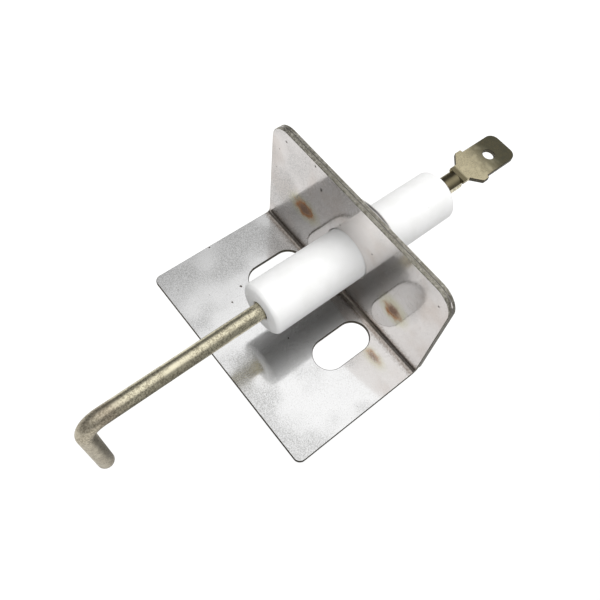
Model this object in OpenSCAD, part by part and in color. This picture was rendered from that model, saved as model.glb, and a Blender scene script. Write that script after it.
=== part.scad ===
// Ignition electrode on an angle bracket.
//
// A ceramic insulator carries a bent metal rod. The insulator's collar is trapped
// between the upright of a folded bracket and a second sheet spot-welded behind it.
// A flat push-on terminal sits on the rod's far end.
//
// Frame: +Z up, Y along the rod with the sparking tip at -Y and the terminal at +Y,
// X across the bracket. The origin is on the bracket's underside, midway between
// its two slots. All sizes are in millimetres.

/* [Bracket] */
// Width of the bracket across the rod
bracket_w = 40; // [30:1:60]
// Depth of the base, from its front edge to the upright's front face
base_d = 24.6; // [20:0.1:40]
// Height of the upright, from the underside of the base
upright_h = 24.8; // [22:0.5:40]
// Thickness of the bracket's sheet
sheet_t = 0.7; // [0.5:0.1:1.2]
// Inside radius of the fold
fold_r = 0.7; // [0.5:0.1:2]
// Radius of the base's two front corners
base_corner_r = 1.2; // [0.5:0.1:4]
// Radius of the top corners of both sheets
top_corner_r = 3.7; // [1:0.1:6]

/* [Slots] */
// Width of each fixing slot
slot_w = 5.7; // [4.2:0.1:7]
// Length of each fixing slot, end to end
slot_l = 10.85; // [7.5:0.05:13]
// Distance between the centrelines of the two slots
slot_pitch = 17.7; // [14:0.1:22]
// Flat left between the slots' rear ends and the fold
slot_gap = 0.55; // [0.3:0.05:4]

/* [Insulator] */
// Height of the rod's axis above the underside of the base
axis_h = 11.9; // [11:0.1:14]
// Diameter of the insulator
insulator_d = 9; // [7:0.1:11]
// Length of the insulator in front of the upright
insulator_front_l = 17.1; // [12:0.1:30]
// Length of the insulator behind the upright's front face
insulator_rear_l = 20.6; // [12:0.1:30]
// Chamfer on the insulator's two ends
insulator_chamfer = 0.5; // [0.2:0.1:1]
// Diameter of the collar
collar_d = 14; // [13:0.1:16]
// Thickness of the collar
collar_t = 4; // [2:0.1:6]
// Chamfer on the collar's two rims
collar_chamfer = 0.5; // [0.3:0.1:0.8]

/* [Retaining sheet] */
// Thickness of the retaining sheet
retainer_t = 0.7; // [0.5:0.1:1.2]
// Room around the collar in the pressed pocket
pocket_room = 0.3; // [0.1:0.1:0.6]
// Inside radius of the pocket's bends
pocket_bend_r = 0.4; // [0.2:0.1:0.5]

/* [Spot welds] */
// Flat left between the pocket's bend and each weld
weld_gap = 0.7; // [0.3:0.1:4]
// Diameter of each weld nugget
weld_d = 3; // [2:0.1:4]
// Share of each sheet's thickness that a nugget reaches into
weld_reach = 0.5; // [0.3:0.05:0.7]

/* [Rod] */
// Diameter of the rod
rod_d = 2.7; // [2.5:0.1:4]
// Distance from the upright's front face to the leg's axis
rod_reach = 46.6; // [35:0.1:90]
// Length of the bent leg, from the rod's axis to its end
leg_l = 17; // [8:0.1:30]
// Radius of the bend, at the rod's axis
rod_bend_r = 3; // [2.2:0.1:7]
// Length of rod that stands out of the insulator's rear end
rod_tail_l = 5.2; // [4:0.1:10]
// Chamfer on the rod's two ends
rod_chamfer = 0.25; // [0.1:0.05:0.5]

/* [Cement] */
// Thickness of the cement between the rod and the insulator
cement_t = 0.2; // [0.15:0.05:0.4]
// How far the cement stops short of each end of the insulator
cement_setback = 1.5; // [0.5:0.1:3]

/* [Terminal] */
// Width of the terminal's blade
blade_w = 6.3; // [4.8, 6.3]
// Thickness of the terminal's sheet
blade_t = 0.8; // [0.5:0.1:1]
// Length of the blade, from its shoulders to its tip
blade_l = 7.8; // [7:0.05:10]
// Radius of the blade's tip corners
blade_corner_r = 1.6; // [0.5:0.1:2]
// Diameter of the detent hole
detent_d = 2.2; // [1.4:0.1:2.6]
// Distance from the blade's tip to the detent hole's centre
detent_from_tip = 4.2; // [3:0.1:5]
// How far each shoulder stands out beside the blade
shoulder_step = 0.5; // [0.3:0.05:1]
// Length of the shoulders
shoulder_l = 1.4; // [0.8:0.05:2]
// Width of the waist behind the shoulders
waist_w = 3.5; // [3:0.1:4.5]
// Length of the waist past the rod's end
waist_l = 0.65; // [0.4:0.05:2]
// Length of the flare between the waist and the shoulders
flare_l = 1.7; // [1:0.1:3]
// Angle that the saddle wraps round each side of the rod
saddle_angle = 44; // [30:1:80]

/* [Fits] */
// Radial room between the insulator and the holes in the sheets
hole_room = 0.15; // [0.1:0.05:0.3]
// Radial room between pieces that are bonded or welded
bond_room = 0.02; // [0.01:0.01:0.05]
// Gap between the insulator's rear end and the terminal's saddle
saddle_gap = 0.4; // [0.2:0.1:1]

/* [Hidden] */
$fn = 96;
over = 1; // how far a cut runs past the face it opens

upright_y = slot_l / 2 + slot_gap + fold_r; // front face of the upright
upright_back_y = upright_y + sheet_t; // face where the two sheets meet
base_front_y = upright_y - base_d;
upright_foot_z = fold_r + sheet_t;    // where the fold ends and both sheets are flat

insulator_r = insulator_d / 2;
insulator_front_y = upright_y - insulator_front_l;
insulator_rear_y = upright_y + insulator_rear_l;
hole_r = insulator_r + hole_room;
collar_r = collar_d / 2;
pocket_r = collar_r + pocket_room;                 // inside radius of the pocket's wall
pocket_foot_r = pocket_r + retainer_t + pocket_bend_r; // where the sheet is flat again
weld_x = pocket_foot_r + weld_gap + weld_d / 2;    // middle of each weld, level with the rod

rod_r = rod_d / 2;
cement_in_r = rod_r + bond_room;
cement_out_r = cement_in_r + cement_t;
bore_r = cement_out_r + bond_room;
leg_y = upright_y - rod_reach;
rod_tail_y = insulator_rear_y + rod_tail_l;

saddle_in_r = rod_r + bond_room;
saddle_out_r = saddle_in_r + blade_t;
saddle_y = insulator_rear_y + saddle_gap;
flare_y = rod_tail_y + waist_l;
shoulder_y = flare_y + flare_l;
blade_y = shoulder_y + shoulder_l;
blade_tip_y = blade_y + blade_l;
shoulder_w = blade_w + 2 * shoulder_step;

// Places its children with their Z turned to lie along +Y on the rod's axis, from y on.
module on_axis(y) {
    translate([0, y, axis_h]) rotate([-90, 0, 0]) children();
}

// The waste outside one rounded corner of radius r, whose centre is the origin.
module corner_waste(r) {
    difference() {
        square(r + over);
        circle(r = r);
    }
}

// A rectangle w wide that runs from y = 0 to y = l, with its two far corners rounded to r.
module round_ended(w, l, r) {
    difference() {
        translate([-w / 2, 0]) square([w, l]);
        for (side = [0, 1]) mirror([side, 0]) translate([w / 2 - r, l - r]) corner_waste(r);
    }
}

// An upright sheet, t thick, whose front face is at y.
module upright_sheet(y, t) {
    translate([0, y + t, upright_foot_z]) rotate([90, 0, 0]) linear_extrude(t)
        round_ended(bracket_w, upright_h - upright_foot_z, top_corner_r);
}

// The quarter-round fold between the base and the upright.
module fold() {
    translate([-bracket_w / 2, upright_y - fold_r, upright_foot_z]) rotate([0, 90, 0])
        linear_extrude(bracket_w) intersection() {
            difference() {
                circle(r = upright_foot_z);
                circle(r = fold_r);
            }
            square(upright_foot_z);
        }
}

// Cutter for a slot with round ends that runs along Y.
module slot_cutter() {
    straight_l = slot_l - slot_w;
    translate([0, 0, -over]) linear_extrude(sheet_t + 2 * over) {
        square([slot_w, straight_l], center = true);
        for (side = [-1, 1]) translate([0, side * straight_l / 2]) circle(d = slot_w);
    }
}

// Two discs at the welds, from y_low to y_high, larger than the nuggets by room.
module weld_discs(y_low, y_high, room) {
    for (side = [-1, 1])
        translate([side * weld_x, 0, 0]) on_axis(y_low)
            cylinder(d = weld_d + 2 * room, h = y_high - y_low);
}

// Section of the pressed pocket, r along X and depth along Y, from the sheet's front face.
module pocket_section() {
    floor_r = pocket_r - pocket_bend_r;
    // floor with the hole for the insulator
    translate([hole_r, collar_t]) square([floor_r - hole_r, retainer_t]);
    // bend between the floor and the wall
    translate([floor_r, collar_t - pocket_bend_r]) quarter_ring();
    // wall
    translate([pocket_r, retainer_t + pocket_bend_r])
        square([retainer_t, collar_t - retainer_t - 2 * pocket_bend_r]);
    // bend between the wall and the flat sheet
    translate([pocket_foot_r, retainer_t + pocket_bend_r]) rotate(180) quarter_ring();
}

// Quarter of a ring, one sheet thick, that turns a pocket's bend.
module quarter_ring() {
    intersection() {
        difference() {
            circle(r = pocket_bend_r + retainer_t);
            circle(r = pocket_bend_r);
        }
        square(pocket_bend_r + retainer_t);
    }
}

// Folded bracket: the base with its two slots, and the upright with the insulator's hole.
module bracket() {
    color("silver") difference() {
        union() {
            translate([0, upright_y - fold_r, 0]) mirror([0, 1]) linear_extrude(sheet_t)
                round_ended(bracket_w, base_d - fold_r, base_corner_r);
            fold();
            upright_sheet(upright_y, sheet_t);
        }
        for (side = [-1, 1]) translate([side * slot_pitch / 2, 0, 0]) slot_cutter();
        on_axis(upright_y - over) cylinder(r = hole_r, h = sheet_t + 2 * over);
        weld_discs(upright_back_y - weld_reach * sheet_t, upright_back_y + over, bond_room);
    }
}

// Second sheet behind the upright, with a pressed pocket that holds the collar.
module retaining_sheet() {
    color("silver") {
        difference() {
            upright_sheet(upright_back_y, retainer_t);
            on_axis(upright_back_y - over) cylinder(r = pocket_foot_r, h = retainer_t + 2 * over);
            weld_discs(upright_back_y - over, upright_back_y + weld_reach * retainer_t, bond_room);
        }
        on_axis(upright_back_y) rotate_extrude() pocket_section();
    }
}

// The two nuggets that join the sheets.
module spot_welds() {
    color("gray") weld_discs(upright_back_y - weld_reach * sheet_t,
                             upright_back_y + weld_reach * retainer_t, 0);
}

// Ceramic tube with a collar between the two sheets.
module insulator() {
    front_l = upright_back_y - insulator_front_y; // from the front end to the collar
    total_l = insulator_front_l + insulator_rear_l;
    c = insulator_chamfer;
    cc = collar_chamfer;
    color("white") on_axis(insulator_front_y) rotate_extrude() polygon([
        [bore_r, 0], [insulator_r - c, 0], [insulator_r, c],
        [insulator_r, front_l], [collar_r - cc, front_l], [collar_r, front_l + cc],
        [collar_r, front_l + collar_t - cc], [collar_r - cc, front_l + collar_t],
        [insulator_r, front_l + collar_t],
        [insulator_r, total_l - c], [insulator_r - c, total_l], [bore_r, total_l]
    ]);
}

// Refractory cement that bonds the rod inside the insulator.
module cement() {
    low_y = insulator_front_y + cement_setback;
    cement_l = insulator_rear_y - cement_setback - low_y;
    color("beige") on_axis(low_y) difference() {
        cylinder(r = cement_out_r, h = cement_l);
        translate([0, 0, -over]) cylinder(r = cement_in_r, h = cement_l + 2 * over);
    }
}

// A straight stretch of rod along +Z, l long, with its far end chamfered.
module rod_stretch(l) {
    cylinder(r = rod_r, h = l - rod_chamfer);
    translate([0, 0, l - rod_chamfer])
        cylinder(r1 = rod_r, r2 = rod_r - rod_chamfer, h = rod_chamfer);
}

// Rod through the insulator, bent down at its sparking end.
module rod() {
    bend_y = leg_y + rod_bend_r;
    color("tan") {
        on_axis(bend_y) rod_stretch(rod_tail_y - bend_y);
        translate([0, bend_y, axis_h - rod_bend_r]) rotate([90, 0, -90])
            rotate_extrude(angle = 90) translate([rod_bend_r, 0]) circle(r = rod_r);
        translate([0, leg_y, axis_h - rod_bend_r]) rotate([180, 0, 0])
            rod_stretch(leg_l - rod_bend_r);
    }
}

// Flat outline of the terminal past the rod's end, in X and Y.
module blade_outline() {
    join_y = rod_tail_y - blade_t; // the flat sheet starts on the saddle's crown
    translate([-waist_w / 2, join_y]) square([waist_w, flare_y - join_y]);
    polygon([
        [-waist_w / 2, flare_y], [waist_w / 2, flare_y],
        [shoulder_w / 2, shoulder_y], [-shoulder_w / 2, shoulder_y]
    ]);
    translate([0, shoulder_y]) round_ended(shoulder_w, shoulder_l, shoulder_step / 2);
    translate([0, blade_y]) round_ended(blade_w, blade_l, blade_corner_r);
}

// Push-on terminal: a blade with a detent hole and a saddle welded over the rod's tail.
module terminal() {
    color("darkkhaki") difference() {
        union() {
            translate([0, 0, axis_h + saddle_in_r]) linear_extrude(blade_t) blade_outline();
            on_axis(saddle_y) linear_extrude(rod_tail_y - saddle_y) intersection() {
                difference() {
                    circle(r = saddle_out_r);
                    circle(r = saddle_in_r);
                }
                // wedge that opens upwards, because Y points down here
                polygon([
                    [0, 0],
                    [-saddle_out_r * tan(saddle_angle), -saddle_out_r],
                    [saddle_out_r * tan(saddle_angle), -saddle_out_r]
                ]);
            }
        }
        translate([0, blade_tip_y - detent_from_tip, axis_h + saddle_in_r - over])
            cylinder(d = detent_d, h = blade_t + 2 * over);
    }
}

bracket();
retaining_sheet();
spot_welds();
insulator();
cement();
rod();
terminal();
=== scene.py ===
"""Finishes and visible pieces of an ignition electrode on an angle bracket."""

import math

import bmesh
import bpy
from mathutils import Matrix, Vector


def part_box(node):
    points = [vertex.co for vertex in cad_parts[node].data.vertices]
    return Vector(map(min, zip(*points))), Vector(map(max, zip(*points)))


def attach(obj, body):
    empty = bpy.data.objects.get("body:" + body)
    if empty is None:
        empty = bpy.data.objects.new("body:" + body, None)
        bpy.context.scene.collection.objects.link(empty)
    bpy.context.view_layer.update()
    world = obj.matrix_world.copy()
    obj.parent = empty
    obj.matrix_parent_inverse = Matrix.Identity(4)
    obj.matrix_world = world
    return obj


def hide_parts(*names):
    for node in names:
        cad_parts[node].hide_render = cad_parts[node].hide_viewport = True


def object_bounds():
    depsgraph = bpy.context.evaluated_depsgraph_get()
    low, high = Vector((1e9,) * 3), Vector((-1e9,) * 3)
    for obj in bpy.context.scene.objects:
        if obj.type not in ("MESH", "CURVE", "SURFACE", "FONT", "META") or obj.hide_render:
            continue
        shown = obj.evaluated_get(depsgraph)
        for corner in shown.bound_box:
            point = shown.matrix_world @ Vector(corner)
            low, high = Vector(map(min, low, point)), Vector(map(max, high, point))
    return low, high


bl_info = {
    "name": "Ignition Electrode",
    "version": (1, 0, 0),
    "blender": (4, 5, 0),
    "location": "View3D > Sidebar > Electrode",
    "description": "Builds the visible pieces and finishes of an ignition electrode",
    "category": "Add Mesh",
}

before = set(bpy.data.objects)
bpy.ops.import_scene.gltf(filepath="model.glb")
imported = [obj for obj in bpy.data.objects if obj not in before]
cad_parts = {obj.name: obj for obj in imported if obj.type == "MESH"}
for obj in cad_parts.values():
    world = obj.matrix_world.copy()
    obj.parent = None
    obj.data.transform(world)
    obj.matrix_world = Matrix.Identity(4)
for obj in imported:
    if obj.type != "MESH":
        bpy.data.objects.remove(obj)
CAD_BOX = [list(corner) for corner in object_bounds()]

MM = 0.001
BODY = "root"

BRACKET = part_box("bracket")
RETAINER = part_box("retaining_sheet")
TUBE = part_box("insulator")
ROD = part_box("rod")
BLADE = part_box("terminal")
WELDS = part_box("spot_welds")

# The rod's axis runs along Y through the middle of the insulator.
AXIS_Z = TUBE[0].z + (TUBE[1].z - TUBE[0].z) / 2
ROD_R = ROD[1].z - AXIS_Z
LEG_Y = ROD[0].y + ROD_R
# Each nugget is round, so half its height is its radius.
WELD_X = WELDS[1].x - (WELDS[1].z - WELDS[0].z) / 2
SHEET_T = 0.7 * MM
FRONT_FACE_Y = BRACKET[1].y - SHEET_T

# How far the rounded corners, the fold, a sheet's rim and the terminal's lap on the
# rod reach where faces are told apart.
CORNER_REACH = 4.2 * MM
FOLD_REACH = 1.2 * MM
RIM_REACH = 0.1 * MM
LAP_REACH = 0.3 * MM
PLANE_SLACK = 0.01 * MM

MERGE_WITHIN = 0.0005 * MM
ON_PLANE_WITHIN = 0.001 * MM
FLAT_ANGLE = math.radians(0.3)
BREAK_ANGLE = math.radians(40)
END_ANGLE = math.radians(60)
SMOOTH_ANGLE = math.radians(30)
ROD_SMOOTH_ANGLE = math.radians(40)
ROD_FACETS = 64
BEND_STEPS = 24
END_ROUND_STEPS = 4


# ---------------------------------------------------------------- sizes and colours


class SheetSettings(bpy.types.PropertyGroup):
    """Sizes and colours of the bracket and the retaining sheet."""

    edge_break: bpy.props.FloatProperty(
        name="Edge break", description="Width of the worn line along each cut edge",
        default=0.11 * MM, min=0.0, unit="LENGTH")
    face_colour: bpy.props.FloatVectorProperty(
        name="Face", description="Colour of the rolled face",
        default=(0.87, 0.87, 0.87), subtype="COLOR", size=3)
    wall_colour: bpy.props.FloatVectorProperty(
        name="Upright", description="Warmer colour of the upright's face",
        default=(0.82, 0.785, 0.765), subtype="COLOR", size=3)
    cut_colour: bpy.props.FloatVectorProperty(
        name="Cut edge", description="Colour of the sheared edge",
        default=(0.38, 0.355, 0.28), subtype="COLOR", size=3)
    heat_brown: bpy.props.FloatVectorProperty(
        name="Heat brown", description="Colour of the burnt ring round each spot weld",
        default=(0.46, 0.20, 0.07), subtype="COLOR", size=3)
    heat_core: bpy.props.FloatVectorProperty(
        name="Heat core", description="Colour of the scale in the middle of each mark",
        default=(0.20, 0.075, 0.035), subtype="COLOR", size=3)
    heat_straw: bpy.props.FloatVectorProperty(
        name="Heat straw", description="Colour of the faint halo round each spot weld",
        default=(0.62, 0.60, 0.36), subtype="COLOR", size=3)


class TubeSettings(bpy.types.PropertyGroup):
    """Sizes and colours of the ceramic insulator."""

    lip_round: bpy.props.FloatProperty(
        name="Lip round", description="Rounding of the tube's edges",
        default=0.12 * MM, min=0.0, unit="LENGTH")
    colour: bpy.props.FloatVectorProperty(
        name="Ceramic", description="Colour of the fired ceramic",
        default=(0.87, 0.87, 0.865), subtype="COLOR", size=3)


class RodSettings(bpy.types.PropertyGroup):
    """Sizes and colours of the bent rod."""

    bend_radius: bpy.props.FloatProperty(
        name="Bend radius", description="Radius of the bend at the rod's axis",
        default=3.0 * MM, min=0.0, unit="LENGTH")
    end_round: bpy.props.FloatProperty(
        name="End round", description="Rounding of the rod's two ends",
        default=0.25 * MM, min=0.0, unit="LENGTH")
    straight_colour: bpy.props.FloatVectorProperty(
        name="Straight", description="Colour of the straight part",
        default=(0.94, 0.88, 0.66), subtype="COLOR", size=3)
    leg_colour: bpy.props.FloatVectorProperty(
        name="Leg", description="Colour of the heated leg",
        default=(0.66, 0.60, 0.47), subtype="COLOR", size=3)


class TerminalSettings(bpy.types.PropertyGroup):
    """Sizes and colours of the push-on terminal."""

    edge_break: bpy.props.FloatProperty(
        name="Edge break", description="Width of the worn line along the stamped edge",
        default=0.05 * MM, min=0.0, unit="LENGTH")
    warm_colour: bpy.props.FloatVectorProperty(
        name="Shoulders", description="Colour near the shoulders",
        default=(0.98, 0.88, 0.60), subtype="COLOR", size=3)
    dark_colour: bpy.props.FloatVectorProperty(
        name="Tip", description="Colour towards the tip",
        default=(0.15, 0.145, 0.10), subtype="COLOR", size=3)


# ---------------------------------------------------------------- modelling helpers


def deselect_all():
    bpy.ops.object.select_all(action="DESELECT")


def pick_only(piece):
    deselect_all()
    piece.select_set(True)
    bpy.context.view_layer.objects.active = piece


def pick_verts(piece, wanted):
    """In edit mode, selects the vertices whose place passes the test."""
    bpy.ops.mesh.select_mode(type="VERT")
    bpy.ops.mesh.select_all(action="DESELECT")
    mesh = bmesh.from_edit_mesh(piece.data)
    for vert in mesh.verts:
        vert.select = bool(wanted(vert.co))
    mesh.select_flush(True)
    bmesh.update_edit_mesh(piece.data)


def apply_modifier(piece, kind, **settings):
    pick_only(piece)
    modifier = piece.modifiers.new(kind.lower(), kind)
    for key, value in settings.items():
        setattr(modifier, key, value)
    bpy.ops.object.modifier_apply(modifier=modifier.name)


def merged_copy(node, name):
    """A copy of a CAD node as one closed mesh, with its flat faces whole."""
    piece = bpy.data.objects.new(name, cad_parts[node].data.copy())
    bpy.context.scene.collection.objects.link(piece)
    piece.data.materials.clear()
    pick_only(piece)
    bpy.ops.object.mode_set(mode="EDIT")
    bpy.ops.mesh.select_all(action="SELECT")
    bpy.ops.mesh.remove_doubles(threshold=MERGE_WITHIN)
    bpy.ops.mesh.customdata_custom_splitnormals_clear()
    bpy.ops.mesh.dissolve_limited(angle_limit=FLAT_ANGLE)
    bpy.ops.object.mode_set(mode="OBJECT")
    return piece


def break_edges(piece, width):
    apply_modifier(piece, "BEVEL", width=width, segments=1, limit_method="ANGLE",
                   angle_limit=BREAK_ANGLE, use_clamp_overlap=False)


def smooth(piece, angle=SMOOTH_ANGLE):
    pick_only(piece)
    bpy.ops.object.shade_smooth_by_angle(angle=angle)


def settle(piece, slot, *nodes):
    """Puts a finished piece on the body in the CAD nodes' stead."""
    piece.matrix_world = Matrix.Identity(4)
    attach(piece, BODY)
    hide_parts(*nodes)


# ---------------------------------------------------------------- shader helpers


# Places of a colour mix's sockets.
MIX_FACTOR = 0
MIX_COLOURS = (6, 7)
MIX_RESULT = 2


class Recipe:
    """Adds nodes to a tree, one line each."""

    def __init__(self, tree):
        self.tree = tree

    def add(self, kind, **values):
        node = self.tree.nodes.new(kind)
        for key, value in values.items():
            setattr(node, key, value)
        return node

    def feed(self, node, socket, value):
        target = node.inputs[socket]
        if isinstance(value, bpy.types.NodeSocket):
            self.tree.links.new(value, target)
        else:
            target.default_value = value

    def math(self, operation, *values, clamp=False):
        node = self.add("ShaderNodeMath", operation=operation, use_clamp=clamp)
        for index, value in enumerate(values):
            self.feed(node, index, value)
        return node.outputs[0]

    def noise(self, vector, scale, detail=2.0, roughness=0.5):
        node = self.add("ShaderNodeTexNoise")
        self.feed(node, "Vector", vector)
        self.feed(node, "Scale", scale)
        self.feed(node, "Detail", detail)
        self.feed(node, "Roughness", roughness)
        return node.outputs["Fac"]

    def span(self, value, low, high, to_low=0.0, to_high=1.0):
        node = self.add("ShaderNodeMapRange", interpolation_type="SMOOTHSTEP")
        for socket, entry in zip(
                ("Value", "From Min", "From Max", "To Min", "To Max"),
                (value, low, high, to_low, to_high)):
            self.feed(node, socket, entry)
        return node.outputs["Result"]

    def blend(self, factor, first, second):
        node = self.add("ShaderNodeMix", data_type="RGBA")
        self.feed(node, MIX_FACTOR, factor)
        for socket, entry in zip(MIX_COLOURS, (first, second)):
            if isinstance(entry, tuple):
                entry = (*entry, 1.0)
            self.feed(node, socket, entry)
        return node.outputs[MIX_RESULT]

    def scaled(self, value, share):
        return self.math("MULTIPLY", value, share)

    def length(self, first, second):
        squares = (self.math("MULTIPLY", value, value) for value in (first, second))
        return self.math("SQRT", self.math("ADD", *squares))

    def split(self, vector):
        node = self.add("ShaderNodeSeparateXYZ")
        self.feed(node, 0, vector)
        return node.outputs

    def mapped(self, vector, place=(0, 0, 0), turn=(0, 0, 0), size=(1, 1, 1)):
        node = self.add("ShaderNodeMapping")
        self.feed(node, "Vector", vector)
        self.feed(node, "Location", place)
        self.feed(node, "Rotation", turn)
        self.feed(node, "Scale", size)
        return node.outputs[0]


def new_group(name, inputs, outputs):
    """An empty shader node group with its recipe, input sockets and output node."""
    tree = bpy.data.node_groups.new(name, "ShaderNodeTree")
    for label, kind, default in inputs:
        socket = tree.interface.new_socket(label, in_out="INPUT", socket_type=kind)
        if default is not None:
            socket.default_value = default
    for label, kind in outputs:
        tree.interface.new_socket(label, in_out="OUTPUT", socket_type=kind)
    recipe = Recipe(tree)
    entry = recipe.add("NodeGroupInput")
    return tree, recipe, entry, recipe.add("NodeGroupOutput")


SCRATCH_TURNS = ((0.3, 0.5, 0.5), (-0.5, -0.6, -0.35))
SCRATCH_DETAIL = 3.0
SCRATCH_ROUGHNESS = 0.6
SCRATCH_SOFTNESS = 0.08


def scratches_group():
    """Fine scratches in two directions. Mask is 1 on a scratch."""
    tree, r, entry, leave = new_group(
        "Scratches",
        [("Vector", "NodeSocketVector", None), ("Length", "NodeSocketFloat", 0.03),
         ("Fineness", "NodeSocketFloat", 9.0), ("Threshold", "NodeSocketFloat", 0.64)],
        [("Mask", "NodeSocketFloat")])
    marks = []
    for turn in SCRATCH_TURNS:
        parts = r.split(r.mapped(entry.outputs["Vector"], turn=turn))
        joined = r.add("ShaderNodeCombineXYZ")
        r.feed(joined, 0, r.math("MULTIPLY", parts[0], entry.outputs["Length"]))
        r.feed(joined, 1, parts[1])
        r.feed(joined, 2, parts[2])
        streak = r.noise(joined.outputs[0], entry.outputs["Fineness"], SCRATCH_DETAIL,
                         SCRATCH_ROUGHNESS)
        whole = r.math("ADD", entry.outputs["Threshold"], SCRATCH_SOFTNESS)
        marks.append(r.span(streak, entry.outputs["Threshold"], whole))
    r.feed(leave, 0, r.math("MAXIMUM", *marks))
    return tree


PATCH_DETAIL = 1.0
PATCH_ROUGHNESS = 0.5
PATCH_SOFTNESS = 0.30
SPECKLE_DETAIL = 3.0
SPECKLE_ROUGHNESS = 0.75
SPECKLE_EDGE = (0.43, 0.58)


def mottle_group():
    """Uneven patches with a fine speckle inside them."""
    tree, r, entry, leave = new_group(
        "Mottle",
        [("Vector", "NodeSocketVector", None), ("Patch", "NodeSocketFloat", 0.25),
         ("Speckle", "NodeSocketFloat", 4.0), ("Cover", "NodeSocketFloat", 0.5)],
        [("Patches", "NodeSocketFloat"), ("Speckles", "NodeSocketFloat")])
    patch = r.noise(entry.outputs["Vector"], entry.outputs["Patch"], PATCH_DETAIL,
                    PATCH_ROUGHNESS)
    patch = r.span(patch, entry.outputs["Cover"],
                   r.math("ADD", entry.outputs["Cover"], PATCH_SOFTNESS))
    speck = r.noise(entry.outputs["Vector"], entry.outputs["Speckle"], SPECKLE_DETAIL,
                    SPECKLE_ROUGHNESS)
    r.feed(leave, 0, patch)
    r.feed(leave, 1, r.math("MULTIPLY", r.span(speck, *SPECKLE_EDGE), patch))
    return tree


# Distances in a heat mark are shares of its half width and half height.
MARK_NOISE = (0.9, 3.0, 0.6)
MARK_WOBBLE = 1.1
RING_MIDDLE = 0.70
RING_WIDTH = 0.55
RING_OPENS = (-0.9, 0.9)
CORE_EDGE = (0.25, 0.85)
HALO_EDGE = (0.9, 2.1)


def heat_mark_group():
    """A spot weld's heat mark in X and Z: a dark core, a burnt ring and a wide halo."""
    tree, r, entry, leave = new_group(
        "Heat mark",
        [("Vector", "NodeSocketVector", None), ("Wide", "NodeSocketFloat", 2.5),
         ("High", "NodeSocketFloat", 1.7), ("Open side", "NodeSocketFloat", 0.0)],
        [("Ring", "NodeSocketFloat"), ("Core", "NodeSocketFloat"),
         ("Halo", "NodeSocketFloat")])
    parts = r.split(entry.outputs["Vector"])
    across = r.math("DIVIDE", parts[0], entry.outputs["Wide"])
    along = r.math("DIVIDE", parts[2], entry.outputs["High"])
    wobble = r.math("SUBTRACT", r.noise(entry.outputs["Vector"], *MARK_NOISE), 0.5)
    far = r.math("ADD", r.length(across, along), r.scaled(wobble, MARK_WOBBLE))
    off_ring = r.math("ABSOLUTE", r.math("SUBTRACT", far, RING_MIDDLE))
    ring = r.math("SUBTRACT", 1.0, r.math("DIVIDE", off_ring, RING_WIDTH), clamp=True)
    closed = r.math("SUBTRACT", 1.0, entry.outputs["Open side"])
    r.feed(leave, 0, r.math("MULTIPLY", ring, r.span(along, *RING_OPENS, 1.0, closed)))
    r.feed(leave, 1, r.span(far, *CORE_EDGE, 1.0, 0.0))
    r.feed(leave, 2, r.span(far, *HALO_EDGE, 1.0, 0.0))
    return tree


GROUP_MAKERS = {"Scratches": scratches_group, "Mottle": mottle_group,
                "Heat mark": heat_mark_group}


def use_group(recipe, name, **inputs):
    tree = bpy.data.node_groups.get(name) or GROUP_MAKERS[name]()
    node = recipe.add("ShaderNodeGroup", node_tree=tree)
    for label, value in inputs.items():
        recipe.feed(node, label.replace("_", " ").capitalize(), value)
    return node.outputs


def new_material(name):
    """A material with its recipe, its shader and the place on the part in millimetres."""
    material = bpy.data.materials.new(name)
    material.use_nodes = True
    recipe = Recipe(material.node_tree)
    shader = material.node_tree.nodes["Principled BSDF"]
    place = recipe.add("ShaderNodeTexCoord").outputs["Object"]
    return material, recipe, shader, recipe.mapped(place, size=(1 / MM,) * 3)


def raise_surface(recipe, shader, height, strength, distance):
    bump = recipe.add("ShaderNodeBump")
    recipe.feed(bump, "Strength", strength)
    recipe.feed(bump, "Distance", distance)
    recipe.feed(bump, "Height", height)
    recipe.feed(shader, "Normal", bump.outputs[0])


# ---------------------------------------------------------------- finishes
#
# In the numbers below, lengths are in millimetres. A NOISE is a scale, a detail and
# a roughness. An EDGE is the two values between which a mask turns. A SHARE is how
# far a mask mixes in a colour or adds to a roughness or a height. A ROUGH or a BUMP
# is the surface's own: two roughnesses, or a strength and a distance in metres.

WALL_EDGE = (-1.2, -0.6)
WORN_FRONT_DEPTH = 9.0
WORN_LEFT_EDGE = (3.0, 15.0)
CLEAN_COVER = 0.54
WORN_COVER_DROP = 0.26
SHEET_PATCH = 0.14
SHEET_SPECKLE = 4.6
FILM_NOISE = (0.11, 3.0, 0.6)
FILM_EDGE = (0.42, 0.68)
FILM_SHARE = 0.45
FILM_COLOUR = (0.60, 0.50, 0.43)
DULL_SHARE = 0.22
DULL_COLOUR = (0.60, 0.60, 0.60)
SPECKLED_SHARE = 0.60
SPECKLED_COLOUR = (0.42, 0.42, 0.41)
SCRATCHED_SHARE = 0.40
SCRATCHED_COLOUR = (0.42, 0.40, 0.38)
GRAIN_NOISE = (5.5, 3.0, 0.75)
GRAIN_EDGE = (0.50, 0.66)
GRAIN_SHARE = 0.20
GRAIN_COLOUR = (0.50, 0.48, 0.46)
# A ragged band that is darker along the fold between the base and the upright.
FOLD_DARK_NOISE = (2.6, 4.0, 0.75)
FOLD_DARK_MIDDLE = 0.48
FOLD_DARK_SPREAD = 2.6
FOLD_DARK_EDGE = (0.1, 1.7)
FOLD_DARK_SHARE = 0.78
FOLD_DARK_COLOUR = (0.17, 0.135, 0.10)
PIT_NOISE = (0.85, 1.0)
PIT_EDGE = (0.775, 0.80)
PIT_COLOUR = (0.12, 0.10, 0.09)
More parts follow.
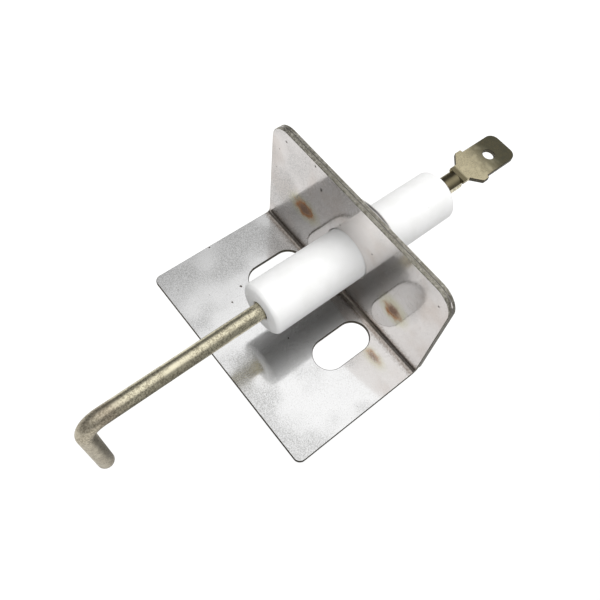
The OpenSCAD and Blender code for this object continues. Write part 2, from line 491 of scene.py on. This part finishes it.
# Each heat mark: its side, its offset from the nugget in X and Z, its turn, its half
# width and half height, and how far its ring is open on the upper side.
HEAT_MARKS = ((-1, (-0.15, -0.1), 0.25, 2.4, 1.7, 0.0),
              (1, (1.2, -1.4), -0.1, 2.0, 2.0, 0.9))
HALO_SHARE = 0.55
CORE_SHARE = 0.85
SHEET_ROUGH = 0.08
DULL_ROUGH_SHARE = 0.14
SCRATCHED_ROUGH_SHARE = 0.15
GRAIN_ROUGH_SHARE = 0.22
HEAT_ROUGH_SHARE = 0.25
WAVE_NOISE = (0.45, 2.0)
TOOTH_NOISE = (14.0, 2.0)
TOOTH_SHARE = 0.10
SCRATCH_DEPTH_SHARE = 0.10
SHEET_BUMP = (0.30, 0.02 * MM)


def sheet_face_finish(settings):
    """Bright rolled sheet with scratches, dull patches and the welds' heat marks."""
    material, r, shader, place = new_material("Rolled sheet face")
    scratch = use_group(r, "Scratches", Vector=place)["Mask"]
    across, depth, height = r.split(place)
    off_front = r.math("SUBTRACT", depth, FRONT_FACE_Y / MM)
    wall = r.span(off_front, *WALL_EDGE)
    # The dull patches gather along the base's front and left-hand sides.
    front_y = BRACKET[0].y / MM
    left_x = BRACKET[0].x / MM
    worn = r.math("MAXIMUM",
                  r.span(depth, front_y, front_y + WORN_FRONT_DEPTH, 1.0, 0.0),
                  r.span(across, left_x + WORN_LEFT_EDGE[0], left_x + WORN_LEFT_EDGE[1],
                         1.0, 0.0))
    cover = r.math("SUBTRACT", CLEAN_COVER, r.scaled(worn, WORN_COVER_DROP))
    mottle = use_group(r, "Mottle", Vector=place, Patch=SHEET_PATCH,
                       Speckle=SHEET_SPECKLE, Cover=cover)
    film = r.scaled(r.span(r.noise(place, *FILM_NOISE), *FILM_EDGE), FILM_SHARE)
    tinted = r.blend(film, tuple(settings.wall_colour), FILM_COLOUR)
    colour = r.blend(wall, tuple(settings.face_colour), tinted)
    colour = r.blend(r.scaled(mottle["Patches"], DULL_SHARE), colour, DULL_COLOUR)
    colour = r.blend(r.scaled(mottle["Speckles"], SPECKLED_SHARE), colour,
                     SPECKLED_COLOUR)
    colour = r.blend(r.scaled(scratch, SCRATCHED_SHARE), colour, SCRATCHED_COLOUR)
    # Rolling grain all over, a ragged darkening along the fold, and a few pits.
    grain = r.span(r.noise(place, *GRAIN_NOISE), *GRAIN_EDGE)
    colour = r.blend(r.scaled(grain, GRAIN_SHARE), colour, GRAIN_COLOUR)
    off_base = r.math("SUBTRACT", height, SHEET_T / MM)
    ragged = r.math("SUBTRACT", r.noise(place, *FOLD_DARK_NOISE), FOLD_DARK_MIDDLE)
    off_fold_ragged = r.math("SUBTRACT", r.length(off_front, off_base),
                    r.scaled(ragged, FOLD_DARK_SPREAD))
    fold_dark = r.scaled(r.span(off_fold_ragged, *FOLD_DARK_EDGE, 1.0, 0.0), FOLD_DARK_SHARE)
    colour = r.blend(fold_dark, colour, FOLD_DARK_COLOUR)
    pit = r.span(r.noise(place, *PIT_NOISE), *PIT_EDGE)
    colour = r.blend(pit, colour, PIT_COLOUR)
    heat = 0.0
    for side, offset, turn, wide, high, open_side in HEAT_MARKS:
        centre = (side * WELD_X / MM + offset[0], 0, AXIS_Z / MM + offset[1])
        local = r.mapped(place, place=tuple(-value for value in centre))
        local = r.mapped(local, turn=(0, turn, 0))
        mark = use_group(r, "Heat mark", Vector=local, Wide=wide, High=high,
                         Open_side=open_side)
        halo = r.math("MULTIPLY", r.scaled(mark["Halo"], HALO_SHARE), wall)
        ring = r.math("MULTIPLY", mark["Ring"], wall)
        core = r.math("MULTIPLY", r.scaled(mark["Core"], CORE_SHARE), wall)
        colour = r.blend(halo, colour, tuple(settings.heat_straw))
        colour = r.blend(ring, colour, tuple(settings.heat_brown))
        colour = r.blend(core, colour, tuple(settings.heat_core))
        heat = r.math("MAXIMUM", heat, r.math("MAXIMUM", ring, core))
    rough = SHEET_ROUGH
    for mask, share in ((mottle["Patches"], DULL_ROUGH_SHARE),
                        (scratch, SCRATCHED_ROUGH_SHARE),
                        (grain, GRAIN_ROUGH_SHARE)):
        rough = r.math("ADD", rough, r.scaled(mask, share))
    rough = r.math("ADD", rough, r.scaled(heat, HEAT_ROUGH_SHARE), clamp=True)
    r.feed(shader, "Base Color", colour)
    r.feed(shader, "Roughness", rough)
    r.feed(shader, "Metallic", 1.0)
    relief = r.math("ADD", r.noise(place, *WAVE_NOISE),
                    r.scaled(r.noise(place, *TOOTH_NOISE), TOOTH_SHARE))
    relief = r.math("SUBTRACT", relief, r.scaled(scratch, SCRATCH_DEPTH_SHARE))
    raise_surface(r, shader, relief, *SHEET_BUMP)
    return material


CUT_LINE_NOISE = (2.6, 4.0, 0.7)
CUT_LINE_EDGE = (0.35, 0.65)
CUT_LIGHT = (0.86, 0.83, 0.74)
CUT_FINE_NOISE = (11.0, 2.0, 0.6)
CUT_FINE_EDGE = (0.48, 0.62)
CUT_FINE_SHARE = 0.75
CUT_DARK = (0.14, 0.125, 0.10)
CUT_ROUGH = (0.38, 0.62)
CUT_BUMP = (0.5, 0.05 * MM)
# The noise values between which a surface goes from its first roughness to its second.
ROUGH_EDGE = (0.3, 0.7)


def cut_edge_finish(settings):
    """Sheared edge, rough and dull with a torn grain."""
    material, r, shader, place = new_material("Sheared edge")
    lines = r.noise(place, *CUT_LINE_NOISE)
    fine = r.noise(place, *CUT_FINE_NOISE)
    colour = r.blend(r.span(lines, *CUT_LINE_EDGE), tuple(settings.cut_colour), CUT_LIGHT)
    colour = r.blend(r.span(fine, *CUT_FINE_EDGE, 0.0, CUT_FINE_SHARE), colour, CUT_DARK)
    r.feed(shader, "Base Color", colour)
    r.feed(shader, "Metallic", 1.0)
    r.feed(shader, "Roughness", r.span(lines, *ROUGH_EDGE, *CUT_ROUGH))
    raise_surface(r, shader, fine, *CUT_BUMP)
    return material


CLOUD_NOISE = (0.35, 3.0)
CLOUD_EDGE = (0.4, 0.7)
CLOUD_COLOUR = (0.83, 0.83, 0.82)
SPECK_NOISE = (1.7, 2.0, 0.6)
SPECK_EDGE = (0.755, 0.785)
SPECK_SHARE = 0.5
SPECK_COLOUR = (0.45, 0.43, 0.42)
CERAMIC_ROUGH = (0.50, 0.62)
CERAMIC_SPECULAR = 0.35
CERAMIC_GRAIN_NOISE = (5.0, 3.0)
CERAMIC_BUMP = (0.15, 0.03 * MM)


def ceramic_finish(settings):
    """Matt white fired ceramic with a faint grain and a few specks."""
    material, r, shader, place = new_material("Fired ceramic")
    cloud = r.noise(place, *CLOUD_NOISE)
    speck = r.span(r.noise(place, *SPECK_NOISE), *SPECK_EDGE)
    colour = r.blend(r.span(cloud, *CLOUD_EDGE), tuple(settings.colour), CLOUD_COLOUR)
    colour = r.blend(r.scaled(speck, SPECK_SHARE), colour, SPECK_COLOUR)
    r.feed(shader, "Base Color", colour)
    r.feed(shader, "Roughness", r.span(cloud, *ROUGH_EDGE, *CERAMIC_ROUGH))
    r.feed(shader, "Specular IOR Level", CERAMIC_SPECULAR)
    raise_surface(r, shader, r.noise(place, *CERAMIC_GRAIN_NOISE), *CERAMIC_BUMP)
    return material


ROD_PATCH = 0.5
ROD_SPECKLE = 3.6
ROD_COVER = 0.22
HEATED_EDGE = (1.0, 8.0)
PINK_EDGE = (1.5, 4.5)
PINK_SHARE = 0.5
PINK_COLOUR = (0.46, 0.33, 0.26)
ROD_SPECKLED_SHARE = 0.60
ROD_SPECKLED_COLOUR = (0.20, 0.16, 0.10)
# Painted shade: the leg's end is darkened where it meets the floor.
LEG_END_SHADE_EDGE = (0.1, 0.6)
LEG_END_SHADE_SHARE = 0.85
LEG_END_SHADE_COLOUR = (0.05, 0.045, 0.04)
ROD_ROUGH = 0.29
ROD_PATCH_ROUGH_SHARE = 0.06
HEATED_ROUGH_SHARE = 0.10
DRAWN_STRETCH = (1, 0.12, 1)
DRAWN_NOISE = (5.0, 3.0, 0.6)
ROD_SPECKLE_DEPTH_SHARE = -0.5
ROD_BUMP = (0.35, 0.02 * MM)


def rod_finish(settings):
    """Drawn resistance wire, speckled, darker where the flame heats it, and painted shade at
    the leg's end.
    """
    material, r, shader, place = new_material("Heated rod")
    parts = r.split(place)
    mottle = use_group(r, "Mottle", Vector=place, Patch=ROD_PATCH, Speckle=ROD_SPECKLE,
                       Cover=ROD_COVER)
    off_leg = r.math("SUBTRACT", parts["Y"], LEG_Y / MM)
    heated = r.span(off_leg, *HEATED_EDGE, 1.0, 0.0)
    pink = r.math("MULTIPLY", r.span(off_leg, *PINK_EDGE), heated)
    colour = r.blend(heated, tuple(settings.straight_colour), tuple(settings.leg_colour))
    colour = r.blend(r.scaled(pink, PINK_SHARE), colour, PINK_COLOUR)
    colour = r.blend(r.scaled(mottle["Speckles"], ROD_SPECKLED_SHARE), colour,
                     ROD_SPECKLED_COLOUR)
    # Painted shade darkens the leg's lowest end, where it meets the floor.
    above_end = r.math("SUBTRACT", parts["Z"], ROD[0].z / MM)
    colour = r.blend(r.span(above_end, *LEG_END_SHADE_EDGE, LEG_END_SHADE_SHARE, 0.0), colour,
                     LEG_END_SHADE_COLOUR)
    rough = r.math("ADD", r.scaled(mottle["Patches"], ROD_PATCH_ROUGH_SHARE),
                   r.scaled(heated, HEATED_ROUGH_SHARE))
    r.feed(shader, "Base Color", colour)
    r.feed(shader, "Metallic", 1.0)
    r.feed(shader, "Roughness", r.math("ADD", ROD_ROUGH, rough))
    drawn = r.noise(r.mapped(place, size=DRAWN_STRETCH), *DRAWN_NOISE)
    relief = r.math("ADD", drawn, r.scaled(mottle["Speckles"], ROD_SPECKLE_DEPTH_SHARE))
    raise_surface(r, shader, relief, *ROD_BUMP)
    return material


TERMINAL_PATCH = 0.8
TERMINAL_SPECKLE = 7.5
TERMINAL_COVER = 0.25
TIP_EDGE = (-8.5, -2.5)
TIP_WOBBLE = 0.8
TERMINAL_SPECKLED_SHARE = 0.38
TERMINAL_SPECKLED_COLOUR = (0.30, 0.24, 0.13)
NECK_EDGE = (-0.1, 0.5)
NECK_COLOUR = (0.30, 0.26, 0.16)
TERMINAL_ROUGH = 0.30
TERMINAL_PATCH_ROUGH_SHARE = 0.10
NECK_ROUGH_DROP = 0.14
TERMINAL_GRAIN_NOISE = (4.0, 3.0, 0.6)
TERMINAL_BUMP = (0.25, 0.03 * MM)


def terminal_finish(settings):
    """Dull plated sheet, mottled at the shoulders and darker at the tip and neck."""
    material, r, shader, place = new_material("Dull terminal plating")
    depth = r.split(place)["Y"]
    mottle = use_group(r, "Mottle", Vector=place, Patch=TERMINAL_PATCH,
                       Speckle=TERMINAL_SPECKLE, Cover=TERMINAL_COVER)
    wobbly = r.math("ADD", depth, r.scaled(mottle["Patches"], TIP_WOBBLE))
    tip_y = BLADE[1].y / MM
    towards_tip = r.span(wobbly, tip_y + TIP_EDGE[0], tip_y + TIP_EDGE[1])
    colour = r.blend(towards_tip, tuple(settings.warm_colour), tuple(settings.dark_colour))
    colour = r.blend(r.scaled(mottle["Speckles"], TERMINAL_SPECKLED_SHARE), colour,
                     TERMINAL_SPECKLED_COLOUR)
    off_rod = r.math("SUBTRACT", depth, ROD[1].y / MM)
    neck = r.span(off_rod, *NECK_EDGE, 1.0, 0.0)
    colour = r.blend(neck, colour, NECK_COLOUR)
    r.feed(shader, "Base Color", colour)
    r.feed(shader, "Metallic", 1.0)
    rough = r.math("ADD", TERMINAL_ROUGH,
                   r.scaled(mottle["Patches"], TERMINAL_PATCH_ROUGH_SHARE))
    rough = r.math("SUBTRACT", rough, r.scaled(neck, NECK_ROUGH_DROP))
    r.feed(shader, "Roughness", rough)
    raise_surface(r, shader, r.noise(place, *TERMINAL_GRAIN_NOISE), *TERMINAL_BUMP)
    return material


STAMPED_NOISE = (6.0, 3.0, 0.6)
# Near-black colours: painted shade on the base's cut edges and slot walls.
SHADE_EDGE_DARK = (0.07, 0.065, 0.05)
SHADE_EDGE_LIGHT = (0.16, 0.14, 0.10)
STAMPED_ROUGH = (0.40, 0.60)
STAMPED_BUMP = (0.3, 0.03 * MM)


def shaded_edge_finish():
    """Cut edge of the base, its slots and the terminal, painted near-black: painted shade on
    the base's edges and slot walls.
    """
    material, r, shader, place = new_material("Stamped edge painted shade")
    grain = r.noise(place, *STAMPED_NOISE)
    r.feed(shader, "Base Color", r.blend(grain, SHADE_EDGE_DARK, SHADE_EDGE_LIGHT))
    r.feed(shader, "Metallic", 1.0)
    r.feed(shader, "Roughness", r.span(grain, *ROUGH_EDGE, *STAMPED_ROUGH))
    raise_surface(r, shader, grain, *STAMPED_BUMP)
    return material


COARSE_NOISE = (3.0, 4.0, 0.7)
COARSE_EDGE = (0.35, 0.65)
COARSE_ROUGH = (0.6, 0.85)
COARSE_BUMP = (0.4, 0.05 * MM)
# Each hidden piece's node, material name, light and dark colours, and metallic value.
HIDDEN_FINISHES = (
    ("cement", "Set cement", (0.60, 0.56, 0.48), (0.42, 0.38, 0.32), 0.0),
    ("spot_welds", "Weld metal", (0.50, 0.47, 0.43), (0.28, 0.24, 0.20), 1.0))


def grainy_finish(name, light, dark, metallic):
    """Rough grainy matter for the pieces that are nearly hidden."""
    material, r, shader, place = new_material(name)
    grain = r.noise(place, *COARSE_NOISE)
    r.feed(shader, "Base Color", r.blend(r.span(grain, *COARSE_EDGE), light, dark))
    r.feed(shader, "Metallic", metallic)
    r.feed(shader, "Roughness", r.span(grain, *ROUGH_EDGE, *COARSE_ROUGH))
    raise_surface(r, shader, grain, *COARSE_BUMP)
    return material


# Places in a piece's list of materials.
FACE = 0
EDGE = 1
BASE_EDGE = 2
# The least part of a face's normal that counts as lying along an axis.
SIDEWAYS = 0.5
LEVEL = 0.8


def faces_along(normal_part):
    return abs(normal_part) >= LEVEL


def paint_by_face(piece, materials, choose):
    """Gives the piece its materials, each face the one that choose names."""
    piece.data.materials.clear()
    for material in materials:
        piece.data.materials.append(material)
    for face in piece.data.polygons:
        face.material_index = choose(face.normal, face.center)


# ---------------------------------------------------------------- pieces


class ELECTRODE_OT_bracket(bpy.types.Operator):
    """Makes the folded bracket with broken edges and its rolled finish"""

    bl_idname = "electrode.bracket"
    bl_label = "Bracket"

    def execute(self, context):
        settings = context.scene.electrode_sheet
        piece = merged_copy("bracket", "folded_bracket")
        break_edges(piece, settings.edge_break)
        smooth(piece)

        def choose(normal, centre):
            on_base = centre.z < SHEET_T + PLANE_SLACK and centre.y < FRONT_FACE_Y - FOLD_REACH
            # The base's cut edges and slot walls take the near-black edge: painted shade.
            if on_base and not faces_along(normal.z):
                return BASE_EDGE
            side = abs(normal.x) > SIDEWAYS and abs(centre.x) > BRACKET[1].x - CORNER_REACH
            upper = centre.z > BRACKET[1].z - CORNER_REACH and not faces_along(normal.y)
            return EDGE if side or upper else FACE

        paint_by_face(piece, [sheet_face_finish(settings), cut_edge_finish(settings),
                              shaded_edge_finish()], choose)
        settle(piece, "sheet_steel", "bracket")
        return {"FINISHED"}


class ELECTRODE_OT_retaining_sheet(bpy.types.Operator):
    """Makes the retaining sheet with its pressed pocket"""

    bl_idname = "electrode.retaining_sheet"
    bl_label = "Retaining sheet"

    def execute(self, context):
        settings = context.scene.electrode_sheet
        piece = merged_copy("retaining_sheet", "retaining_cup_sheet")
        break_edges(piece, settings.edge_break)
        smooth(piece)

        def choose(normal, centre):
            outer = (abs(centre.x) > RETAINER[1].x - CORNER_REACH
                     or centre.z > RETAINER[1].z - RIM_REACH
                     or centre.z < RETAINER[0].z + RIM_REACH)
            return EDGE if abs(normal.y) < SIDEWAYS and outer else FACE

        paint_by_face(piece, [bpy.data.materials["Rolled sheet face"],
                              bpy.data.materials["Sheared edge"]], choose)
        settle(piece, "sheet_steel", "retaining_sheet")
        return {"FINISHED"}


class ELECTRODE_OT_insulator(bpy.types.Operator):
    """Makes the ceramic tube with softened edges"""

    bl_idname = "electrode.insulator"
    bl_label = "Insulator"

    def execute(self, context):
        settings = context.scene.electrode_tube
        piece = merged_copy("insulator", "ceramic_tube")
        break_edges(piece, settings.lip_round)
        smooth(piece)
        piece.data.materials.append(ceramic_finish(settings))
        settle(piece, "alumina", "insulator")
        return {"FINISHED"}


class ELECTRODE_OT_rod(bpy.types.Operator):
    """Makes the rod from a round blank, drawn out, bent and drawn out again"""

    bl_idname = "electrode.rod"
    bl_label = "Rod"

    def execute(self, context):
        settings = context.scene.electrode_rod
        bend = settings.bend_radius
        deselect_all()
        bpy.ops.mesh.primitive_circle_add(
            vertices=ROD_FACETS, radius=ROD_R, fill_type="NGON",
            location=(0, ROD[1].y, AXIS_Z), rotation=(math.pi / 2, 0, 0))
        piece = bpy.context.active_object
        piece.name = piece.data.name = "bent_rod"
        bpy.ops.object.transform_apply(location=True, rotation=True, scale=True)
        bpy.ops.object.mode_set(mode="EDIT")
        bpy.ops.mesh.select_all(action="SELECT")
        bend_y = LEG_Y + bend
        leg_top = AXIS_Z - bend
        bpy.ops.mesh.extrude_region_move(
            TRANSFORM_OT_translate={"value": (0, bend_y - ROD[1].y, 0)})
        pick_verts(piece, lambda co: abs(co.y - bend_y) < ON_PLANE_WITHIN)
        bpy.ops.mesh.spin(steps=BEND_STEPS, angle=-math.pi / 2, dupli=False,
                          center=(0, bend_y, leg_top), axis=(1, 0, 0))
        pick_verts(piece, lambda co: abs(co.z - leg_top) < ON_PLANE_WITHIN)
        bpy.ops.mesh.extrude_region_move(
            TRANSFORM_OT_translate={"value": (0, 0, ROD[0].z - leg_top)})
        bpy.ops.mesh.select_all(action="SELECT")
        bpy.ops.mesh.remove_doubles(threshold=MERGE_WITHIN)
        bpy.ops.mesh.normals_make_consistent(inside=False)
        bpy.ops.object.mode_set(mode="OBJECT")
        apply_modifier(piece, "BEVEL", width=settings.end_round,
                       segments=END_ROUND_STEPS, limit_method="ANGLE",
                       angle_limit=END_ANGLE)
        smooth(piece, ROD_SMOOTH_ANGLE)
        piece.data.materials.append(rod_finish(settings))
        settle(piece, "rod_alloy", "rod")
        return {"FINISHED"}


class ELECTRODE_OT_terminal(bpy.types.Operator):
    """Makes the stamped push-on terminal on the rod's tail"""

    bl_idname = "electrode.terminal"
    bl_label = "Terminal"

    def execute(self, context):
        settings = context.scene.electrode_terminal
        piece = merged_copy("terminal", "push_on_terminal")
        break_edges(piece, settings.edge_break)
        smooth(piece)

        def choose(normal, centre):
            past_rod = centre.y > ROD[1].y + LAP_REACH
            return EDGE if past_rod and not faces_along(normal.z) else FACE

        paint_by_face(piece, [terminal_finish(settings),
                              bpy.data.materials["Stamped edge painted shade"]], choose)
        settle(piece, "terminal_metal", "terminal")
        return {"FINISHED"}


class ELECTRODE_OT_bond(bpy.types.Operator):
    """Gives the cement and the weld nuggets their finishes"""

    bl_idname = "electrode.bond"
    bl_label = "Cement and welds"

    def execute(self, context):
        for node, name, light, dark, metallic in HIDDEN_FINISHES:
            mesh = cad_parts[node].data
            mesh.materials.clear()
            mesh.materials.append(grainy_finish(name, light, dark, metallic))
        return {"FINISHED"}


# ---------------------------------------------------------------- stage

CAMERA_PLACE = (33.355 * MM, -36.626 * MM, 97.937 * MM)
CAMERA_RIGHT = (0.637595, 0.761397, 0.117249)
CAMERA_UP = (-0.710282, 0.522083, 0.472154)
CAMERA_BACK = (0.298283, -0.384323, 0.873684)
CAMERA_LENS = 38.0
CAMERA_SENSOR = 36.0
CAMERA_SHIFT = (-0.0603, -0.0180)
CAMERA_CLIP = (1 * MM, 10.0)

# The sky's height above the horizon, as a sine, and its brightness there.
SKY_STEPS = ((0.0, 0.26), (0.30, 0.30), (0.52, 0.16), (0.62, 0.22), (0.72, 0.52),
             (0.80, 0.84), (0.88, 1.05), (1.0, 1.10))
SKY_SIDE_EDGE = (-0.60, -0.28)
SKY_SIDE_SHARE = 0.45
DIM_PATCH_TOWARDS = (-0.37, -0.48, 0.80)
DIM_PATCH_EDGE = (0.08, 0.17)
DIM_PATCH_SHARE = 0.50
SKY_HELD_DOWN = 0.90
SKY_ON_MATT = 0.27

FLOOR_HALF = 1.5
FLOOR_GAP = 0.02 * MM
FLOOR_ROUGHNESS = 0.9
FLOOR_GLOW = 1.24
FLOOR_GLOW_OF_TONE = 1.6
FLOOR_GLOW_SEEN = 0.80
FLOOR_GLOW_MIRRORED = 0.35
# The card darkens, in millimetres, towards the front right: a painted shadow of the rod, which
# the steel mirrors.
CARD_PALE = 0.60
CARD_SHADOW_TONE = 0.12
CARD_SHADOW_SPAN = (10.0, 22.0)
CARD_SLANT = 0.6
CARD_PALE_FROM_LEG = (-1.0, 5.0)

LAMP_DISTANCE = 0.5
LAMP_SIZE = 0.35
# Each lamp's name, the way towards it, and its watts.
LAMPS = (("Soft top", (-0.2, 0.35, 0.87), 1.05), ("Side fill", (0.8, -0.25, 0.5), 0.75))


def stage_world():
    """A sky bright overhead, dim at the horizon, on one side and in one soft patch.

    The camera sees it white.
    """
    world = bpy.data.worlds.new("Studio")
    bpy.context.scene.world = world
    world.use_nodes = True
    r = Recipe(world.node_tree)
    sky = world.node_tree.nodes["Background"]
    towards = r.add("ShaderNodeTexCoord").outputs["Generated"]
    parts = r.split(towards)
    ramp = r.add("ShaderNodeValToRGB")
    r.feed(ramp, 0, parts["Z"])
    stops = ramp.color_ramp.elements
    for index, (place, value) in enumerate(SKY_STEPS):
        # A new ramp already has two stops.
        stop = stops[index] if index < 2 else stops.new(place)
        stop.position = place
        stop.color = (value, value, value, 1.0)
    side = r.span(parts["X"], *SKY_SIDE_EDGE, SKY_SIDE_SHARE, 1.0)
    off_patch = r.add("ShaderNodeVectorMath", operation="DISTANCE")
    r.feed(off_patch, 0, towards)
    r.feed(off_patch, 1, DIM_PATCH_TOWARDS)
    patch = r.span(off_patch.outputs["Value"], *DIM_PATCH_EDGE, DIM_PATCH_SHARE, 1.0)
    path = r.add("ShaderNodeLightPath")
    # Light that the steel would throw back onto the ceramic is held down.
    once = r.math("MINIMUM", path.outputs["Diffuse Depth"], 1.0)
    thrown_back = r.math("MULTIPLY", path.outputs["Is Glossy Ray"], once)
    kept = r.math("SUBTRACT", 1.0, r.scaled(thrown_back, SKY_HELD_DOWN))
    level = r.math("MULTIPLY", ramp.outputs[0], r.math("MULTIPLY", side, patch))
    level = r.math("MULTIPLY", level, kept)
    level = r.math("ADD", level, r.scaled(path.outputs["Is Diffuse Ray"], SKY_ON_MATT))
    r.feed(sky, "Color", r.blend(path.outputs["Is Camera Ray"], level, (1.0, 1.0, 1.0)))
    r.feed(sky, "Strength", 1.0)


def floor_card():
    """A matt card, white to the camera, with a painted shadow of the rod at the front right
    that the steel mirrors dark.
    """
    material, r, shader, place = new_material("Floor card")
    parts = r.split(place)
    # Painted shadow of the rod: the card's tone darkens towards the front right.
    front_right = r.math("SUBTRACT", parts["X"], r.scaled(parts["Y"], CARD_SLANT))
    tone = r.span(front_right, *CARD_SHADOW_SPAN, CARD_PALE, CARD_SHADOW_TONE)
    # The card stays pale in front of the leg.
    off_leg = r.math("SUBTRACT", parts["Y"], LEG_Y / MM)
    tone = r.math("MAXIMUM", tone, r.span(off_leg, *CARD_PALE_FROM_LEG, CARD_PALE, 0.0))
    grey = r.add("ShaderNodeCombineColor")
    for channel in range(3):
        r.feed(grey, channel, tone)
    r.feed(shader, "Base Color", grey.outputs[0])
    r.feed(shader, "Roughness", FLOOR_ROUGHNESS)
    path = r.add("ShaderNodeLightPath")
    in_view = path.outputs["Is Camera Ray"]
    mirrored = path.outputs["Is Glossy Ray"]
    glow = r.add("ShaderNodeEmission")
    r.feed(glow, "Color", (1.0, 1.0, 1.0, 1.0))
    r.feed(glow, "Strength", r.math("MULTIPLY", FLOOR_GLOW, r.math(
        "MAXIMUM", in_view, r.scaled(tone, FLOOR_GLOW_OF_TONE))))
    seen = r.add("ShaderNodeMixShader")
    r.feed(seen, 0, r.math("ADD", r.scaled(in_view, FLOOR_GLOW_SEEN),
                           r.scaled(mirrored, FLOOR_GLOW_MIRRORED)))
    r.feed(seen, 1, shader.outputs[0])
    r.feed(seen, 2, glow.outputs[0])
    r.feed(material.node_tree.nodes["Material Output"], "Surface", seen.outputs[0])
    return material


def stage_lamp(name, direction, watts):
    """A soft lamp that lights the matt pieces and doesn't show in the steel."""
    data = bpy.data.lights.new(name, "AREA")
    data.shape = "DISK"
    data.size = LAMP_SIZE
    data.energy = watts
    lamp = bpy.data.objects.new(name, data)
    bpy.context.scene.collection.objects.link(lamp)
    towards = Vector(direction).normalized()
    lamp.location = towards * LAMP_DISTANCE
    lamp.rotation_mode = "QUATERNION"
    lamp.rotation_quaternion = (-towards).to_track_quat("-Z", "Y")
    lamp.visible_glossy = False


def stage_camera(scene):
    data = bpy.data.cameras.new("Camera")
    data.sensor_width = CAMERA_SENSOR
    data.lens = CAMERA_LENS
    data.shift_x, data.shift_y = CAMERA_SHIFT
    data.clip_start, data.clip_end = CAMERA_CLIP
    data.dof.use_dof = False
    camera = bpy.data.objects.new("Camera", data)
    scene.collection.objects.link(camera)
    turn = Matrix((CAMERA_RIGHT, CAMERA_UP, CAMERA_BACK)).transposed().to_4x4()
    camera.matrix_world = Matrix.Translation(CAMERA_PLACE) @ turn
    scene.camera = camera


class ELECTRODE_OT_stage(bpy.types.Operator):
    """Adds the pale floor, the soft lights and the camera"""

    bl_idname = "electrode.stage"
    bl_label = "Stage"

    def execute(self, context):
        deselect_all()
        bpy.ops.mesh.primitive_plane_add(
            size=2 * FLOOR_HALF, location=(0, 0, CAD_BOX[0][2] - FLOOR_GAP))
        floor = bpy.context.active_object
        floor.name = "studio_floor"
        floor.data.materials.append(floor_card())
        stage_world()
        for lamp in LAMPS:
            stage_lamp(*lamp)
        context.scene.view_settings.view_transform = "Standard"
        stage_camera(context.scene)
        return {"FINISHED"}


class ELECTRODE_PT_pieces(bpy.types.Panel):
    """Lists the electrode's pieces and their sizes and colours"""

    bl_idname = "ELECTRODE_PT_pieces"
    bl_label = "Ignition Electrode"
    bl_space_type = "VIEW_3D"
    bl_region_type = "UI"
    bl_category = "Electrode"

    def draw(self, context):
        scene = context.scene
        for operator, settings in PANEL_ROWS:
            box = self.layout.box()
            box.operator(operator.bl_idname)
            if settings:
                group = getattr(scene, settings)
                for name in group.__annotations__:
                    box.prop(group, name)


PANEL_ROWS = (
    (ELECTRODE_OT_bracket, "electrode_sheet"),
    (ELECTRODE_OT_retaining_sheet, None),
    (ELECTRODE_OT_insulator, "electrode_tube"),
    (ELECTRODE_OT_rod, "electrode_rod"),
    (ELECTRODE_OT_terminal, "electrode_terminal"),
    (ELECTRODE_OT_bond, None),
    (ELECTRODE_OT_stage, None),
)
SETTINGS = {
    "electrode_sheet": SheetSettings,
    "electrode_tube": TubeSettings,
    "electrode_rod": RodSettings,
    "electrode_terminal": TerminalSettings,
}
CLASSES = (*SETTINGS.values(), *(row[0] for row in PANEL_ROWS), ELECTRODE_PT_pieces)


def register():
    for cls in CLASSES:
        bpy.utils.register_class(cls)
    for name, cls in SETTINGS.items():
        setattr(bpy.types.Scene, name, bpy.props.PointerProperty(type=cls))


def unregister():
    for name in SETTINGS:
        delattr(bpy.types.Scene, name)
    for cls in reversed(CLASSES):
        bpy.utils.unregister_class(cls)


def main():
    register()
    bpy.ops.electrode.bracket()
    bpy.ops.electrode.retaining_sheet()
    bpy.ops.electrode.insulator()
    bpy.ops.electrode.rod()
    bpy.ops.electrode.terminal()
    bpy.ops.electrode.bond()
    bpy.ops.electrode.stage()


if __name__ == "__main__":
    main()
